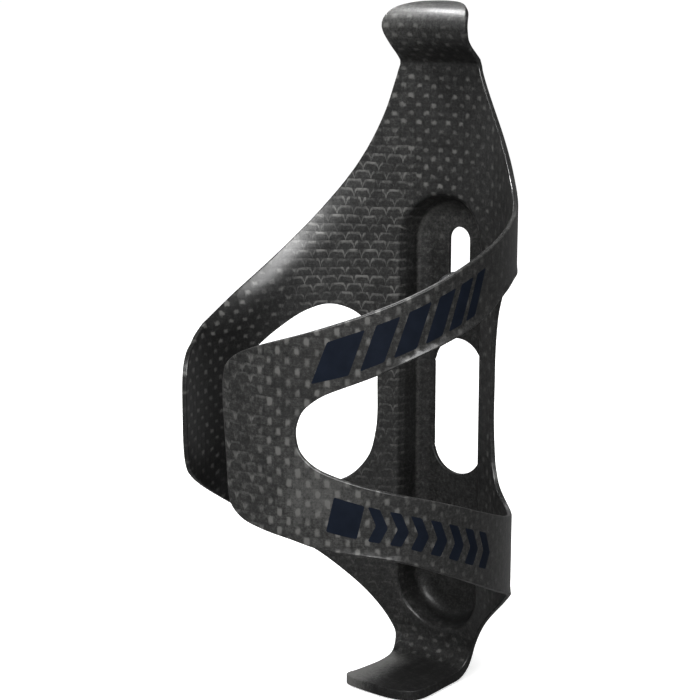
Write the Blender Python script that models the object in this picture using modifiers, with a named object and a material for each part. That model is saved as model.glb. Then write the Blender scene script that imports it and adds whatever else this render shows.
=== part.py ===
"""Side-entry water bottle cage, moulded in carbon fibre, with its two mounting bolts.

The cage is a thin wall wrapped round a bottle, so nearly every point of it is named by an angle
and a height on the bottle's cylinder.  Angle 0 faces the bike frame, positive angles go towards
+X (the loop's side) and negative ones towards -X (the wing's side).  Heights are in millimetres
above the shelf that the bottle stands on.  The world's origin is on the flat mounting face that
lies against the bike frame, +Y points into the bike frame and +Z is up.
"""
import math

import bmesh
import bpy
from mathutils import Matrix, Vector

MM = 0.001

# Driving sizes, in millimetres
BOTTLE_RADIUS = 36.5        # inside of the wall: a standard 73 mm bottle
WALL = 1.2                  # thickness of the carbon wall
GAP = 0.3                   # parting gap between neighbouring solids
AXIS_TO_MOUNT = 44.2        # bottle axis to the mounting face
MOUNT_HEIGHT = 37.0         # origin above the bottle shelf
BOLT_SPACING = 64.0         # standard distance between a frame's two bottle bosses
LOWER_BOLT_HEIGHT = 27.0
PAN_HALF_WIDTH = 11.6       # inside of the recessed mounting pan, at its mouth
PAN_HEIGHTS = (7.4, 114.6)
PAN_FILLET = 3.4            # inside radius where the pan's wall meets its floor
PAN_DRAFT = 0.8             # how far the wall leans in before that radius
SLOT_HALF_WIDTH = 3.0       # clears an M5 bolt
SLOT_HEIGHTS = (84.0, 106.6)
PORT_HALF_WIDTH = 7.2       # the tall window in the pan's floor
PORT_HEIGHTS = (45.4, 79.4)
SHELF_SIDES = (-10.8, 9.8)
SHELF_FRONT = 12.5          # shelf's front edge, from the bottle axis towards the bike frame
SHELF_THICKNESS = 2.5
CREASE_HEIGHT = 144.9       # top of the wall, where the tongue starts
TONGUE_THICKNESS = 1.5
TONGUE_HINGE = (34.4, 145.5)    # distance from the bottle axis and height of the line it flexes about
TONGUE_HOLLOW = 1.9         # how much further back its middle is than its sides, at the crease

# Where the wall is divided, in degrees round the bottle
WING_ROOT = -27.0
WING_WINDOW_END = -80.0
WING_TIP = -119.5
LOOP_ROOT = 28.3
LOOP_WINDOW_END = 146.3
LOOP_TIP = 182.1
LOOP_TIP_LEAN = 1.0         # the tip leans: its top is this much further round than its middle
STEP = 3.0                  # widest facet round the bottle

# Edges of the wall: (angle, height) points that a smooth curve passes through
WING_TOP = ((-17.0, 148.0), (-20.0, 143.0), (-24.5, 134.4), (-30.0, 127.0), (-36.5, 119.9), (-45.3, 112.6),
            (-55.0, 105.8), (-67.0, 98.8), (-80.6, 92.5), (-95.8, 86.7), (-119.5, 80.5))
WING_WINDOW_TOP = ((-27.0, 74.0), (-28.5, 79.5), (-31.0, 82.8), (-36.4, 85.8), (-45.0, 87.4),
                   (-53.9, 86.1), (-65.3, 82.1), (-80.0, 75.6))
WING_WINDOW_LOW = ((-27.0, 60.0), (-27.7, 55.4), (-30.4, 49.2), (-37.5, 44.0), (-46.0, 42.2),
                   (-60.0, 45.4), (-80.0, 55.0))
WING_LOW = ((-19.2, 0.3), (-20.0, 3.9), (-24.0, 9.0), (-31.0, 14.1), (-40.0, 19.3), (-50.8, 24.9),
            (-70.0, 33.0), (-90.5, 41.9), (-110.0, 50.1), (-119.5, 54.0))
LOOP_TOP = ((15.0, 148.0), (17.0, 144.0), (20.5, 139.8), (24.9, 135.5), (30.0, 131.3), (38.0, 125.4),
            (47.0, 119.9), (58.0, 116.2), (70.0, 114.0), (93.0, 108.9), (123.0, 101.6), (150.9, 95.6),
            (182.1, 89.0))
LOOP_WINDOW_TOP = ((28.3, 78.0), (29.3, 85.6), (31.0, 90.4), (35.3, 95.6), (42.0, 99.8), (52.0, 102.8),
                   (64.0, 103.2), (76.0, 100.6), (93.0, 95.0), (110.0, 91.2), (131.0, 86.4), (146.3, 82.7))
LOOP_WINDOW_LOW = ((28.3, 64.0), (29.0, 58.0), (30.5, 52.8), (34.0, 49.0), (42.0, 46.8), (54.0, 46.7),
                   (68.4, 48.9), (82.0, 51.9), (109.0, 58.4), (137.0, 63.9), (146.3, 66.1))
LOOP_LOW = ((15.8, 0.3), (17.4, 4.5), (22.1, 10.6), (28.0, 15.1), (38.0, 20.4), (50.0, 25.4),
            (62.0, 28.9), (79.7, 33.8), (105.6, 41.8), (123.0, 46.4), (149.9, 50.2), (167.3, 52.9),
            (182.1, 55.6))

# Printed films on the loop's bands
FILM_THICKNESS = 0.15
FILM_MARGIN = 0.2           # bare share of the band's height above and below the film
UPPER_LABEL = (86.0, 144.0)
LOWER_LABEL = (72.0, 142.0)

# M5 button-head bolts and their washers
WASHER_HOLE = 2.7
WASHER_RADIUS = 4.9
WASHER_THICKNESS = 1.0
SHANK_RADIUS = 2.4
SHANK_LENGTH = 13.0
SHANK_POINT = 0.6
HEAD_RADIUS = 4.7
HEAD_HEIGHT = 2.7
SOCKET_RADIUS = 1.75
SOCKET_DEPTH = 1.7

# Base colours of the three materials
CARBON = (0.022, 0.023, 0.025)
FILM = (0.010, 0.013, 0.026)
STEEL = (0.46, 0.47, 0.49)


def clear_scene():
    for item in list(bpy.data.objects):
        bpy.data.objects.remove(item, do_unlink=True)


def make_collection(name):
    group = bpy.data.collections.new(name)
    bpy.context.scene.collection.children.link(group)
    return group


def make_material(name, colour, roughness, metallic):
    material = bpy.data.materials.new(name)
    material.use_nodes = True
    shader = material.node_tree.nodes["Principled BSDF"]
    shader.inputs["Base Color"].default_value = (*colour, 1.0)
    shader.inputs["Roughness"].default_value = roughness
    shader.inputs["Metallic"].default_value = metallic
    return material


def world(x, y, height):
    """A point given from the bottle's axis and the shelf, in millimetres, as a world point."""
    return Vector((x, y - AXIS_TO_MOUNT, height - MOUNT_HEIGHT)) * MM


def on_wall(angle, radius, height):
    turn = math.radians(angle)
    return world(radius * math.sin(turn), radius * math.cos(turn), height)


def smooth_edge(points):
    """A curve through the points: cubic pieces whose slopes never overshoot the points."""
    points = sorted(points)
    slopes = [(b[1] - a[1]) / (b[0] - a[0]) for a, b in zip(points, points[1:])]
    tangents = [slopes[0]]
    for before, after in zip(slopes, slopes[1:]):
        same_way = before * after > 0.0
        tangents.append(2.0 * before * after / (before + after) if same_way else 0.0)
    tangents.append(slopes[-1])

    def height(angle):
        i = 0
        while i < len(points) - 2 and angle > points[i + 1][0]:
            i += 1
        (start, low), (end, high) = points[i], points[i + 1]
        span = end - start
        t = min(max((angle - start) / span, 0.0), 1.0)
        rise = (high - low) * t * t * (3.0 - 2.0 * t)
        bend = span * t * (1.0 - t) * (tangents[i] * (1.0 - t) - tangents[i + 1] * t)
        return low + rise + bend

    return height


def round_corner(edge, tip, radius, side):
    """The edge curve, turned in by a corner of this radius where the wall ends at the tip angle."""
    def height(angle):
        inset = abs(tip - angle) * math.radians(1.0) * BOTTLE_RADIUS
        drop = 0.0
        if inset < radius:
            drop = radius - math.sqrt(radius ** 2 - (radius - inset) ** 2)
        return edge(angle) - side * drop

    return height


def angles_between(start, end, fine_end=False):
    """Angles no further apart than STEP, and closer together towards a rounded end."""
    count = math.ceil(abs(end - start) / STEP)
    angles = [start + (end - start) * i / count for i in range(count + 1)]
    if fine_end:
        last = angles.pop()
        spread = angles[-1] - last
        angles += [last + spread * f for f in (0.7, 0.45, 0.25, 0.1, 0.0)]
    return angles


def add_object(name, mesh, material, group):
    item = bpy.data.objects.new(name, mesh)
    mesh.materials.append(material)
    group.objects.link(item)
    return item


def mesh_from(name, build):
    """A mesh made by a function that fills a bmesh."""
    shape = bmesh.new()
    build(shape)
    bmesh.ops.recalc_face_normals(shape, faces=shape.faces)
    mesh = bpy.data.meshes.new(name)
    shape.to_mesh(mesh)
    shape.free()
    return mesh


def add_solidify(item, thickness):
    shell = item.modifiers.new("thickness", "SOLIDIFY")
    shell.thickness = thickness * MM
    shell.offset = 0.0
    shell.use_even_offset = True


def wall_piece(name, angles, low, high, material, group, lean=0.0):
    """A piece of the wall between two edges: an open sheet at mid-thickness, with Solidify.

    Its upright lines lean over, from none at the first angle to this many degrees at the last.
    """
    middle = BOTTLE_RADIUS + WALL / 2

    def build(shape):
        pairs = []
        for angle in angles:
            tilt = lean * (angle - angles[0]) / (angles[-1] - angles[0])
            bottom = shape.verts.new(on_wall(angle - tilt, middle, low(angle)))
            top = shape.verts.new(on_wall(angle + tilt, middle, high(angle)))
            pairs.append((bottom, top))
        for (a, b), (d, c) in zip(pairs, pairs[1:]):
            shape.faces.new((a, b, c, d))

    item = add_object(name, mesh_from(name, build), material, group)
    add_solidify(item, WALL)
    return item


def cut(item, cutter):
    boolean = item.modifiers.new("cut_" + cutter.name, "BOOLEAN")
    boolean.operation = "DIFFERENCE"
    boolean.solver = "EXACT"
    boolean.object = cutter


def as_cutter(cutter):
    cutter.hide_render = True
    cutter.display_type = "WIRE"
    return cutter


def prism(name, outline, start, end, to_world, material, group):
    """A flat outline swept straight between two depths: a 2D curve, filled and extruded, as a mesh."""
    curve = bpy.data.curves.new(name, "CURVE")
    curve.dimensions = "2D"
    curve.fill_mode = "BOTH"
    curve.extrude = abs(end - start) / 2 * MM
    spline = curve.splines.new("POLY")
    spline.points.add(len(outline) - 1)
    for point, (u, v) in zip(spline.points, outline):
        point.co = (u * MM, v * MM, 0.0, 1.0)
    spline.use_cyclic_u = True
    guide = bpy.data.objects.new(name + "_outline", curve)
    bpy.context.scene.collection.objects.link(guide)
    bpy.context.view_layer.update()
    mesh = bpy.data.meshes.new_from_object(guide.evaluated_get(bpy.context.evaluated_depsgraph_get()))
    mesh.transform(to_world @ Matrix.Translation((0.0, 0.0, (start + end) / 2 * MM)))
    bpy.data.objects.remove(guide, do_unlink=True)
    shape = bmesh.new()
    shape.from_mesh(mesh)
    bmesh.ops.remove_doubles(shape, verts=shape.verts, dist=0.00001)
    bmesh.ops.recalc_face_normals(shape, faces=shape.faces)
    shape.to_mesh(mesh)
    shape.free()
    mesh.name = name
    return add_object(name, mesh, material, group)


def towards_frame():
    """Outline (x, height) with depth along +Y, measured from the bottle's axis."""
    upright = Matrix.Rotation(math.radians(90), 4, "X")
    depth_along_y = Matrix.Scale(-1, 4, (0, 0, 1))
    return Matrix.Translation(world(0, 0, 0)) @ upright @ depth_along_y


def upwards():
    """Outline (x, y) from the bottle's axis, with depth along +Z, measured from the shelf."""
    return Matrix.Translation(world(0, 0, 0))


def arc(centre_u, centre_v, radius, start, end, steps):
    """Points along an arc, angles in degrees anticlockwise from +u."""
    turns = [math.radians(start + (end - start) * i / steps) for i in range(steps + 1)]
    return [(centre_u + radius * math.cos(t), centre_v + radius * math.sin(t)) for t in turns]


def obround(half_width, heights, margin=0.0):
    """An upright slot shape with half-round ends, grown by a margin.

    It is a round hole if its height equals its width.
    """
    low, high = heights[0] + half_width, heights[1] - half_width
    radius = half_width + margin
    lower_start = 180.0 if high > low else 195.0
    lower_end = 360.0 if high > low else 345.0
    return arc(0.0, high, radius, 0.0, 180.0, 12) + arc(0.0, low, radius, lower_start, lower_end, 12)


def window_cutter(name, angle, height, half_width, half_height, cutters, material):
    """An oval bar pointing out from the bottle's axis, to round the end of a window."""
    mesh = mesh_from(name, lambda shape: bmesh.ops.create_cone(
        shape, cap_ends=True, segments=28, radius1=1.0, radius2=1.0, depth=1.0))
    scale = Matrix.Diagonal((half_width * MM, half_height * MM, 20 * MM, 1.0))
    # the bar's own z goes outwards along the radius, its y stays upright
    outward = Matrix.Rotation(math.radians(-angle), 4, "Z") @ Matrix.Rotation(math.radians(-90), 4, "X")
    place = Matrix.Translation(on_wall(angle, BOTTLE_RADIUS, height)) @ outward
    mesh.transform(place @ scale)
    return as_cutter(add_object(name, mesh, material, cutters))


def back_wall(carbon, group, cutters):
    """The upright wall behind the bottle, from the neck under the tongue down to the shelf."""
    edges_low = smooth_edge(WING_LOW), smooth_edge(LOOP_LOW)
    edges_high = smooth_edge(WING_TOP), smooth_edge(LOOP_TOP)

    def low(angle):
        if WING_LOW[0][0] <= angle <= LOOP_LOW[0][0]:
            return -SHELF_THICKNESS
        return edges_low[angle > 0](angle)

    def high(angle):
        if WING_TOP[0][0] <= angle <= LOOP_TOP[0][0]:
            return CREASE_HEIGHT
        return min(CREASE_HEIGHT, edges_high[angle > 0](angle))

    angles = [WING_ROOT, -25.7, -24.4, -22.5, -21.0, -20.2, -19.7, WING_LOW[0][0], -18.5, -17.0, -14.0]
    angles += [-10.5, -7.0, -3.5, 0.0, 3.5, 7.0, 10.5, 13.5, 15.4, LOOP_LOW[0][0], 16.6, 17.2]
    angles += [17.8, 19.2, 20.6, 22.1, 24.0, 26.0, LOOP_ROOT]
    item = wall_piece("back_wall", angles, low, high, carbon, group)
    mouth = obround(PAN_HALF_WIDTH, PAN_HEIGHTS, WALL + GAP)
    cut(item, as_cutter(prism("pan_opening", mouth, 25.0, 50.0, towards_frame(), carbon, cutters)))


def pan_profile(offset):
    """The pan's section, as (inset from the mouth's outline, depth) from the mouth to the floor."""
    radius = PAN_FILLET + offset
    centre = PAN_DRAFT + PAN_FILLET, AXIS_TO_MOUNT - WALL - PAN_FILLET
    fillet = [(centre[0] - radius * math.cos(t), centre[1] + radius * math.sin(t))
              for t in (math.radians(a) for a in (0, 18, 36, 54, 72, 90))]
    return [(-offset, 30.0), (-offset, 35.5)] + fillet


def pan_body(name, offset, material, group):
    """A bowl-shaped solid lofted through obround outlines, each set in by the profile."""
    def build(shape):
        rings = []
        for inset, depth in pan_profile(offset):
            outline = obround(PAN_HALF_WIDTH, PAN_HEIGHTS, -inset)
            rings.append([shape.verts.new(world(x, depth, z)) for x, z in outline])
        for a, b in zip(rings, rings[1:]):
            for i in range(len(a)):
                shape.faces.new((a[i - 1], a[i], b[i], b[i - 1]))
        shape.faces.new(rings[0])
        shape.faces.new(rings[-1])

    return add_object(name, mesh_from(name, build), material, group)


def mounting_pan(carbon, group, cutters):
    """The recess behind the wall whose flat floor bolts to the bike frame."""
    item = pan_body("mounting_pan", WALL, carbon, group)
    cut(item, as_cutter(pan_body("pan_hollow", 0.0, carbon, cutters)))
    lower_hole = (LOWER_BOLT_HEIGHT - SLOT_HALF_WIDTH, LOWER_BOLT_HEIGHT + SLOT_HALF_WIDTH)
    openings = {
        "bolt_slot": obround(SLOT_HALF_WIDTH, SLOT_HEIGHTS),
        "port": obround(PORT_HALF_WIDTH, PORT_HEIGHTS),
        "bolt_hole": obround(SLOT_HALF_WIDTH, lower_hole),
    }
    for name, outline in openings.items():
        cut(item, as_cutter(prism(name, outline, 40.0, 50.0, towards_frame(), carbon, cutters)))
    bottle = prism("bottle_space", arc(0.0, 0.0, BOTTLE_RADIUS, 0.0, 356.0, 89), -20.0, 130.0,
                   upwards(), carbon, cutters)
    cut(item, as_cutter(bottle))


def shelf(carbon, group):
    """The flat foot that the bottle stands on, in front of the wall's lower end."""
    back = BOTTLE_RADIUS - GAP
    left, right = SHELF_SIDES
    left_corner, right_corner = 2.0, 4.5
    left_turn, right_turn = (math.degrees(math.acos(x / back)) for x in SHELF_SIDES)
    outline = arc(left + left_corner, SHELF_FRONT + left_corner, left_corner, 180.0, 270.0, 6)
    outline += arc(right - right_corner, SHELF_FRONT + right_corner, right_corner, 270.0, 360.0, 8)
    outline += arc(0.0, 0.0, back, right_turn, left_turn, 10)
    prism("shelf", outline, -SHELF_THICKNESS, 0.0, upwards(), carbon, group)


def tongue(carbon, group):
    """The lip above the wall: it bulges towards the bottle and rolls back over the top."""
    # (distance from the axis at the lip's sides, height, half width), from the crease to the top
    sections = ((34.4, 145.7, 11.2), (33.0, 147.0, 11.1), (31.2, 148.5, 11.1), (29.7, 150.1, 11.2),
                (28.6, 152.0, 11.4), (28.2, 154.0, 11.6), (28.5, 155.8, 11.5), (29.4, 157.3, 10.9),
                (30.7, 158.3, 9.6), (32.3, 158.8, 6.9))
    columns = 8

    def build(shape):
        rows = []
        for i, (depth, height, half) in enumerate(sections):
            hollow = TONGUE_HOLLOW * (1.0 - 0.6 * i / (len(sections) - 1))
            row = []
            for j in range(columns + 1):
                across = 2.0 * j / columns - 1.0
                y = depth + hollow * (1.0 - across ** 2)
                row.append(shape.verts.new(world(half * across, y, height) - hinge))
            rows.append(row)
        for lower, upper in zip(rows, rows[1:]):
            for j in range(columns):
                shape.faces.new((lower[j], lower[j + 1], upper[j + 1], upper[j]))

    hinge = world(0.0, *TONGUE_HINGE)
    item = add_object("tongue", mesh_from("tongue", build), carbon, group)
    item.location = hinge
    item.data.shade_smooth()
    add_solidify(item, TONGUE_THICKNESS)


def side_wing(carbon, group, cutters):
    """The arm on the -X side: two struts that meet in a rounded panel."""
    top = round_corner(smooth_edge(WING_TOP), WING_TIP, 5.0, 1)
    low = round_corner(smooth_edge(WING_LOW), WING_TIP, 5.0, -1)
    half_gap = math.degrees(GAP / 2 / BOTTLE_RADIUS)
    struts = [WING_ROOT - 2 * half_gap, -27.9, -28.9, -30.2]
    struts += angles_between(-31.5, WING_WINDOW_END)
    wall_piece("wing_upper_strut", struts, smooth_edge(WING_WINDOW_TOP), top, carbon, group)
    wall_piece("wing_lower_strut", struts, low, smooth_edge(WING_WINDOW_LOW), carbon, group)
    panel = wall_piece("wing_panel", angles_between(WING_WINDOW_END - 2 * half_gap, WING_TIP, True),
                       low, top, carbon, group)
    cut(panel, window_cutter("wing_window_end", WING_WINDOW_END, 65.3, 6.5, 10.3, cutters, carbon))


def front_loop(carbon, group, cutters):
    """The arm on the +X side: two bands that run round the front and meet in a rounded plate."""
    top = round_corner(smooth_edge(LOOP_TOP), LOOP_TIP, 6.5, 1)
    low = round_corner(smooth_edge(LOOP_LOW), LOOP_TIP, 4.0, -1)
    half_gap = math.degrees(GAP / 2 / BOTTLE_RADIUS)
    bands = [LOOP_ROOT + 2 * half_gap, 29.3, 30.3, 31.6, 33.4, 35.3]
    bands += angles_between(38.0, LOOP_WINDOW_END)
    wall_piece("loop_upper_band", bands, smooth_edge(LOOP_WINDOW_TOP), top, carbon, group)
    wall_piece("loop_lower_band", bands, low, smooth_edge(LOOP_WINDOW_LOW), carbon, group)
    plate = wall_piece("loop_end_plate", angles_between(LOOP_WINDOW_END + 2 * half_gap, LOOP_TIP, True),
                       low, top, carbon, group, LOOP_TIP_LEAN)
    cut(plate, window_cutter("loop_window_end", LOOP_WINDOW_END, 74.4, 6.4, 8.3, cutters, carbon))


def band_label(name, start, end, low, high, material, group):
    """A thin printed film on the outside of a band, over the middle part of its height."""
    radius = BOTTLE_RADIUS + WALL + GAP + FILM_THICKNESS / 2

    def build(shape):
        pairs = []
        for angle in angles_between(start, end):
            bottom, top = low(angle), high(angle)
            inset = FILM_MARGIN * (top - bottom)
            heights = (bottom + inset, top - inset)
            pairs.append([shape.verts.new(on_wall(angle, radius, z)) for z in heights])
        for (a, b), (d, c) in zip(pairs, pairs[1:]):
            shape.faces.new((a, b, c, d))

    item = add_object(name, mesh_from(name, build), material, group)
    add_solidify(item, FILM_THICKNESS)


def turned(name, profile, centre, material, group):
    """A round piece about an axis along +Y, from an (outward radius, depth along +Y) profile."""
    def build(shape):
        points = [shape.verts.new((radius * MM, 0.0, -depth * MM)) for radius, depth in profile]
        for a, b in zip(points, points[1:]):
            shape.edges.new((a, b))

    item = add_object(name, mesh_from(name, build), material, group)
    screw = item.modifiers.new("turn", "SCREW")
    screw.steps = 32
    screw.render_steps = 32
    screw.use_merge_vertices = True
    screw.merge_threshold = 0.00001
    item.rotation_euler = (math.radians(90), 0.0, 0.0)
    item.location = centre
    item.data.shade_smooth()
    return item


def washer(name, height, steel, group):
    """A flat M5 washer against the front of the pan's floor."""
    inner, outer = WASHER_HOLE, WASHER_RADIUS
    profile = ((inner, 0.0), (outer, 0.0), (outer, WASHER_THICKNESS), (inner, WASHER_THICKNESS),
               (inner, 0.0))
    centre = world(0.0, AXIS_TO_MOUNT - WALL - GAP - WASHER_THICKNESS, height)
    turned(name, profile, centre, steel, group)


def bolt(name, height, steel, group, cutters):
    """An M5 button-head bolt with a hexagon socket; its shank stands out past the mounting face."""
    dome = [(HEAD_RADIUS * math.sin(t), HEAD_HEIGHT * 0.55 * (1.0 - math.cos(t)))
            for t in (math.radians(a) for a in (0, 20, 35, 50, 65, 78, 90))]
    tip = HEAD_HEIGHT + SHANK_LENGTH
    profile = dome + [(HEAD_RADIUS, HEAD_HEIGHT), (SHANK_RADIUS, HEAD_HEIGHT),
                      (SHANK_RADIUS, tip - SHANK_POINT), (SHANK_RADIUS - SHANK_POINT, tip), (0.0, tip)]
    top = AXIS_TO_MOUNT - WALL - 2 * GAP - WASHER_THICKNESS - HEAD_HEIGHT
    item = turned(name, profile, world(0.0, top, height), steel, group)
    hexagon = arc(0.0, height, SOCKET_RADIUS, 0.0, 300.0, 5)
    socket = prism(name + "_socket", hexagon, top - 1.0, top + SOCKET_DEPTH, towards_frame(), steel,
                   cutters)
    cut(item, as_cutter(socket))


def main():
    clear_scene()
    group = make_collection("bottle_cage")
    cutters = make_collection("cutters")
    carbon = make_material("carbon", CARBON, 0.38, 0.0)
    film = make_material("film", FILM, 0.45, 0.0)
    steel = make_material("steel", STEEL, 0.3, 1.0)
    back_wall(carbon, group, cutters)
    mounting_pan(carbon, group, cutters)
    shelf(carbon, group)
    tongue(carbon, group)
    side_wing(carbon, group, cutters)
    front_loop(carbon, group, cutters)
    upper_edges = smooth_edge(LOOP_WINDOW_TOP), smooth_edge(LOOP_TOP)
    lower_edges = smooth_edge(LOOP_LOW), smooth_edge(LOOP_WINDOW_LOW)
    band_label("upper_label", *UPPER_LABEL, *upper_edges, film, group)
    band_label("lower_label", *LOWER_LABEL, *lower_edges, film, group)
    for name, height in (("lower", LOWER_BOLT_HEIGHT), ("upper", LOWER_BOLT_HEIGHT + BOLT_SPACING)):
        washer(name + "_washer", height, steel, group)
        bolt(name + "_bolt", height, steel, group, cutters)


main()
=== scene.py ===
"""The looks of the side-entry bottle cage: its moulded carbon skin, printed bands, bolts and studio.

The skin is drawn flat, as a sheet unrolled from the bottle's cylinder: u is the distance round
the bottle and v the height above the shelf, both in millimetres.  The sheet is triangulated
there, wrapped round the bottle, given its thickness and rounded edges, and then divided at the
roots of the two arms and the tongue into one piece for each part.
"""
import math

import bpy
import numpy as np
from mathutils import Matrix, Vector
from mathutils.geometry import delaunay_2d_cdt


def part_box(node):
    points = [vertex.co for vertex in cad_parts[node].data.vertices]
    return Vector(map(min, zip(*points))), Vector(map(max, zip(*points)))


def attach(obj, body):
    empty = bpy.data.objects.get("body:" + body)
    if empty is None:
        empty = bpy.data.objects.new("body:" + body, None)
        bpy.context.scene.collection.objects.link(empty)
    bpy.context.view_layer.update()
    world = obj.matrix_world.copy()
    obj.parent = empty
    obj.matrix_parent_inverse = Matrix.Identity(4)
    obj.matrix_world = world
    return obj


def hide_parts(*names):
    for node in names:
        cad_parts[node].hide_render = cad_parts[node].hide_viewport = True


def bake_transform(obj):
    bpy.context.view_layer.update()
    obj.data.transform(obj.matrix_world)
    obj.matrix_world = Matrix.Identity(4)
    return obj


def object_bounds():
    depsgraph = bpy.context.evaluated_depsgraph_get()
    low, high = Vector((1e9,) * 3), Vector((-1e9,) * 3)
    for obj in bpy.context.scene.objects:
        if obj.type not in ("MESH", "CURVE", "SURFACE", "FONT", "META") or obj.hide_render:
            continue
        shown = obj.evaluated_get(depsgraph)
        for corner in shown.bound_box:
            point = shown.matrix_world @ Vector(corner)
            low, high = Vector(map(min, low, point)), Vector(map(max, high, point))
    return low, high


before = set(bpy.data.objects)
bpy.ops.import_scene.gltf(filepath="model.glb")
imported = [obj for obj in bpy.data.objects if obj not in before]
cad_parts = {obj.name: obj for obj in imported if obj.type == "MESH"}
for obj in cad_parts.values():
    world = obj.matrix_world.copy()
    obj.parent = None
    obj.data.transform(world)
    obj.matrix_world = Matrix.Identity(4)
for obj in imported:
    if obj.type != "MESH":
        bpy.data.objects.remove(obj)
CAD_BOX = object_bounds()

MM = 0.001

# The cage's own sizes, in millimetres, as in the CAD model
RADIUS = 36.5               # front (bottle side) of the wall
WALL = 1.2
FLOOR_FRONT = 43.0          # front of the pan's floor, from the bottle's axis
PAN_HALF_WIDTH = 11.6
PAN_HEIGHTS = (7.4, 114.6)
PAN_FILLET = 3.4
PAN_DRAFT = 0.8
PAN_RIM = 1.6               # rounding of the pan's mouth
SLOT_HALF_WIDTH = 3.0
SLOT_HEIGHTS = (84.0, 106.6)
PORT_HALF_WIDTH = 7.2
PORT_HEIGHTS = (45.4, 79.4)
LOWER_BOLT_HEIGHT = 27.0
SHELF_THICKNESS = 2.5
SHELF_FRONT = 12.5
SHELF_BEND = 5.0            # radius between the wall and the shelf, on the bottle's side
CREASE = 145.0              # height where the tongue folds forwards
EDGE_RADIUS = 0.3
TONGUE_HALF_WIDTH = 11.2
TONGUE_FLATTENING = 0.6     # share of the wall's hollow that the tongue loses by its tip
TONGUE_END = (0.9, 0.2)     # how far back and up the tongue's tip goes on, for each mm along it
TOW_ACROSS = 2.0            # pitch of the upright tows
TOW_UP = 2.1                # pitch of the level tows

# Sizes of the mesh, in millimetres
GRID = 1.3                  # between points inside the wall
OUTLINE_STEP = 0.9          # between points along its outlines
PAN_GRID = 1.5
RIM_STEP = 0.8
SMALL_HOLE_STEP = 0.6
CLEAR_OF_EDGE = 0.62        # share of the grid's spacing kept free beside an outline

# The CAD model's origin is on the mounting face; the sheet is drawn from the bottle's axis
AXIS = Vector((0.0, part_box("mounting_pan")[1].y / MM - FLOOR_FRONT - WALL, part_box("shelf")[1].z / MM))

# Where the sheet is divided for the moving bodies, in degrees round the bottle
WING_SEAM = -24.5
LOOP_SEAM = 24.5
ROOT_BEND = 8.0             # degrees round the bottle, given with each arm's seam

# Outlines of the sheet: (degrees, height) points of smooth curves, anticlockwise round the sheet
LOOP_LOW = ((15.9, 0.0), (17.4, 4.5), (22.1, 10.6), (28.0, 15.1), (38.0, 20.4), (50.0, 25.4),
            (62.0, 28.9), (79.7, 33.8), (105.6, 41.8), (123.0, 46.4), (149.9, 50.2), (157.9, 51.7),
            (167.3, 53.1))
LOOP_END = ((174.6, 54.5), (178.6, 56.2), (180.5, 58.0), (181.2, 61.0), (181.7, 66.6), (182.4, 73.0),
            (183.0, 79.4), (182.9, 83.6), (182.4, 85.4), (180.8, 87.6), (176.5, 89.8), (169.0, 91.9))
LOOP_TOP = ((150.9, 95.6), (123.0, 101.6), (93.0, 108.9), (70.0, 114.0), (58.0, 116.2), (47.0, 119.9),
            (38.0, 125.4), (30.0, 131.3), (24.9, 135.5), (20.5, 139.8), (17.4, 143.6))
WING_TOP = ((-19.2, 144.0), (-21.0, 140.8), (-24.5, 134.4), (-30.0, 127.0), (-36.5, 119.9),
            (-45.3, 112.6), (-55.0, 105.8), (-67.0, 98.8), (-80.6, 92.5), (-95.8, 86.7), (-109.0, 83.0))
WING_END = ((-114.0, 81.2), (-117.4, 78.4), (-119.0, 74.9), (-119.5, 68.0), (-119.4, 61.0),
            (-118.3, 56.8), (-115.7, 53.5))
WING_LOW = ((-110.0, 50.3), (-90.5, 41.9), (-70.0, 33.0), (-50.8, 24.9), (-40.0, 19.3), (-31.0, 14.1),
            (-24.0, 9.0), (-20.3, 5.4), (-19.0, 3.6), (-18.2, 1.5), (-17.3, -0.4), (-16.3, -2.6))
WING_WINDOW = ((-27.0, 67.0), (-27.1, 74.0), (-28.5, 79.5), (-31.0, 82.8), (-36.4, 85.8), (-45.0, 87.4),
               (-53.9, 86.1), (-65.3, 82.1), (-76.0, 77.4), (-84.5, 73.0), (-89.2, 69.0), (-90.2, 65.2),
               (-88.8, 60.8), (-84.0, 56.9), (-75.0, 52.3), (-60.0, 45.4), (-53.0, 43.2), (-46.0, 42.2),
               (-37.5, 44.0), (-30.4, 49.2), (-27.7, 55.4), (-27.0, 60.0))
LOOP_WINDOW = ((28.3, 72.0), (28.2, 64.0), (29.0, 58.0), (30.5, 52.8), (34.0, 49.0), (42.0, 46.8),
               (54.0, 46.7), (68.4, 48.9), (82.0, 51.9), (109.0, 58.4), (137.0, 63.9), (147.0, 66.3),
               (150.2, 67.4), (152.5, 68.6), (154.2, 69.8), (155.3, 71.0), (156.2, 74.0), (155.9, 76.0),
               (154.3, 78.6), (152.6, 79.9), (150.2, 81.2), (146.7, 82.6), (131.0, 86.4), (110.0, 91.2),
               (93.0, 95.0), (76.0, 99.8), (64.0, 101.8), (52.0, 101.6), (42.0, 99.2), (35.3, 95.6),
               (31.0, 90.4), (29.3, 85.6), (28.4, 79.0))
# The shelf's outline, as (x, distance from the bottle's axis towards the bike frame)
SHELF_TIP = ((-9.0, SHELF_FRONT - 0.05), (-4.0, SHELF_FRONT - 0.35), (1.0, SHELF_FRONT - 0.25))
SHELF_LEFT = ((-9.85, 28.9), (-9.5, 26.5), (-9.4, 24.0), (-9.7, 20.5), (-10.2, 16.5), (-10.8, 14.0),
              (-10.2, 12.9))
SHELF_RIGHT = ((4.6, 12.8), (6.8, 13.6), (8.5, 15.0), (9.5, 17.0), (9.8, 19.6), (9.8, 26.0), (9.8, 29.5))
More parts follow.
